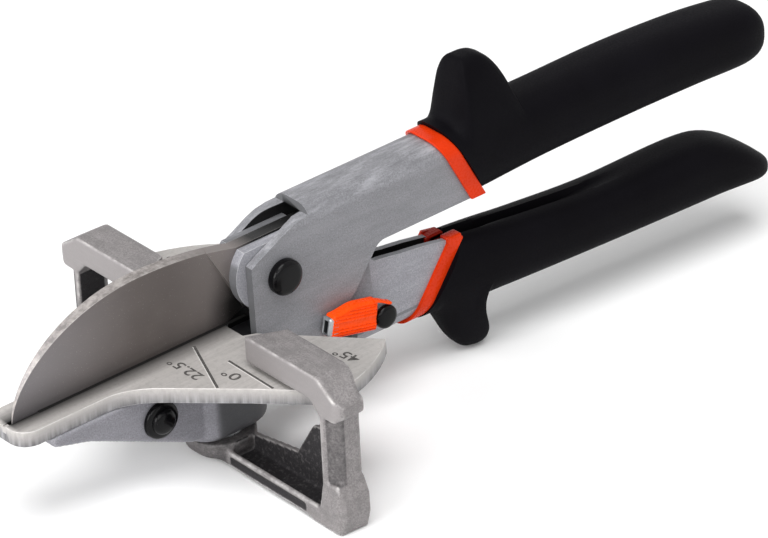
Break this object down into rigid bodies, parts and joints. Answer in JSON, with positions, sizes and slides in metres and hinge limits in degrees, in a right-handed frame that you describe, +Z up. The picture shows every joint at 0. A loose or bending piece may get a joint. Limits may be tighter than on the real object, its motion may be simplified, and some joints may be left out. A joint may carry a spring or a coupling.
{
  "type": "mitre shears",
  "caption": "Hand-held mitre shears: a curved blade closes onto a slotted table, with a swivelling angle fence below, padded handles, a pivot and a side latch.",
  "frame": {"origin": "on the ground, under the middle of the tool's length, in the cutting plane", "axes": "+X from the blade's tip to the handles, +Y to the tool's far side, +Z up; the tool stands on the fence's feet and the finger stop"},
  "size_m": [0.226, 0.0992, 0.0761],
  "materials": {
    "powder_coat": "fine textured silver-grey powder coat",
    "bare_casting": "satin, as cast with a brushed top",
    "blade_steel": "ground, brushed along its height",
    "zinc_steel": "plain plated",
    "black_steel": "glossy black oxide",
    "orange_plastic": "glossy orange",
    "grip_rubber": "matte black",
    "bush_bronze": "plain turned"
  },
  "bodies": {
    "frame": {"upper_channel": "powder_coat", "upper_grip": "grip_rubber", "upper_collar": "orange_plastic", "jaw_body": "powder_coat", "table_plate": "bare_casting", "jaw_screw": "black_steel", "jaw_nut": "black_steel", "cheek_rivets": "zinc_steel", "pivot_bolt": "black_steel", "pivot_washer": "black_steel", "pivot_nut": "black_steel", "pivot_bush": "bush_bronze", "fence_screw": "black_steel", "fence_washer": "zinc_steel"},
    "blade_arm": {"lower_channel": "powder_coat", "lower_grip": "grip_rubber", "lower_collar": "orange_plastic", "blade": "blade_steel", "blade_rivets": "zinc_steel", "spring_pin": "zinc_steel", "opening_spring": "zinc_steel", "latch_pin": "black_steel", "latch_washer": "zinc_steel"},
    "fence": {"fence": "bare_casting"},
    "latch": {"latch_lever": "zinc_steel", "latch_sleeve": "orange_plastic"}
  },
  "joints": [
    {"name": "handle_pivot", "type": "hinge", "parent": "frame", "child": "blade_arm", "pos_m": [-0.04091, -0.0015, 0.04229], "axis": [0, 1, 0], "range_deg": [0, 26]},
    {"name": "fence_swivel", "type": "hinge", "parent": "frame", "child": "fence", "pos_m": [-0.05433, -0.0015, 0.00472], "axis": [-0.0531, 0, 0.9986], "range_deg": [-45, 45]},
    {"name": "latch_pivot", "type": "hinge", "parent": "blade_arm", "child": "latch", "pos_m": [-0.01366, -0.01, 0.02331], "axis": [0, 1, 0], "range_deg": [0, 25]}
  ]
}
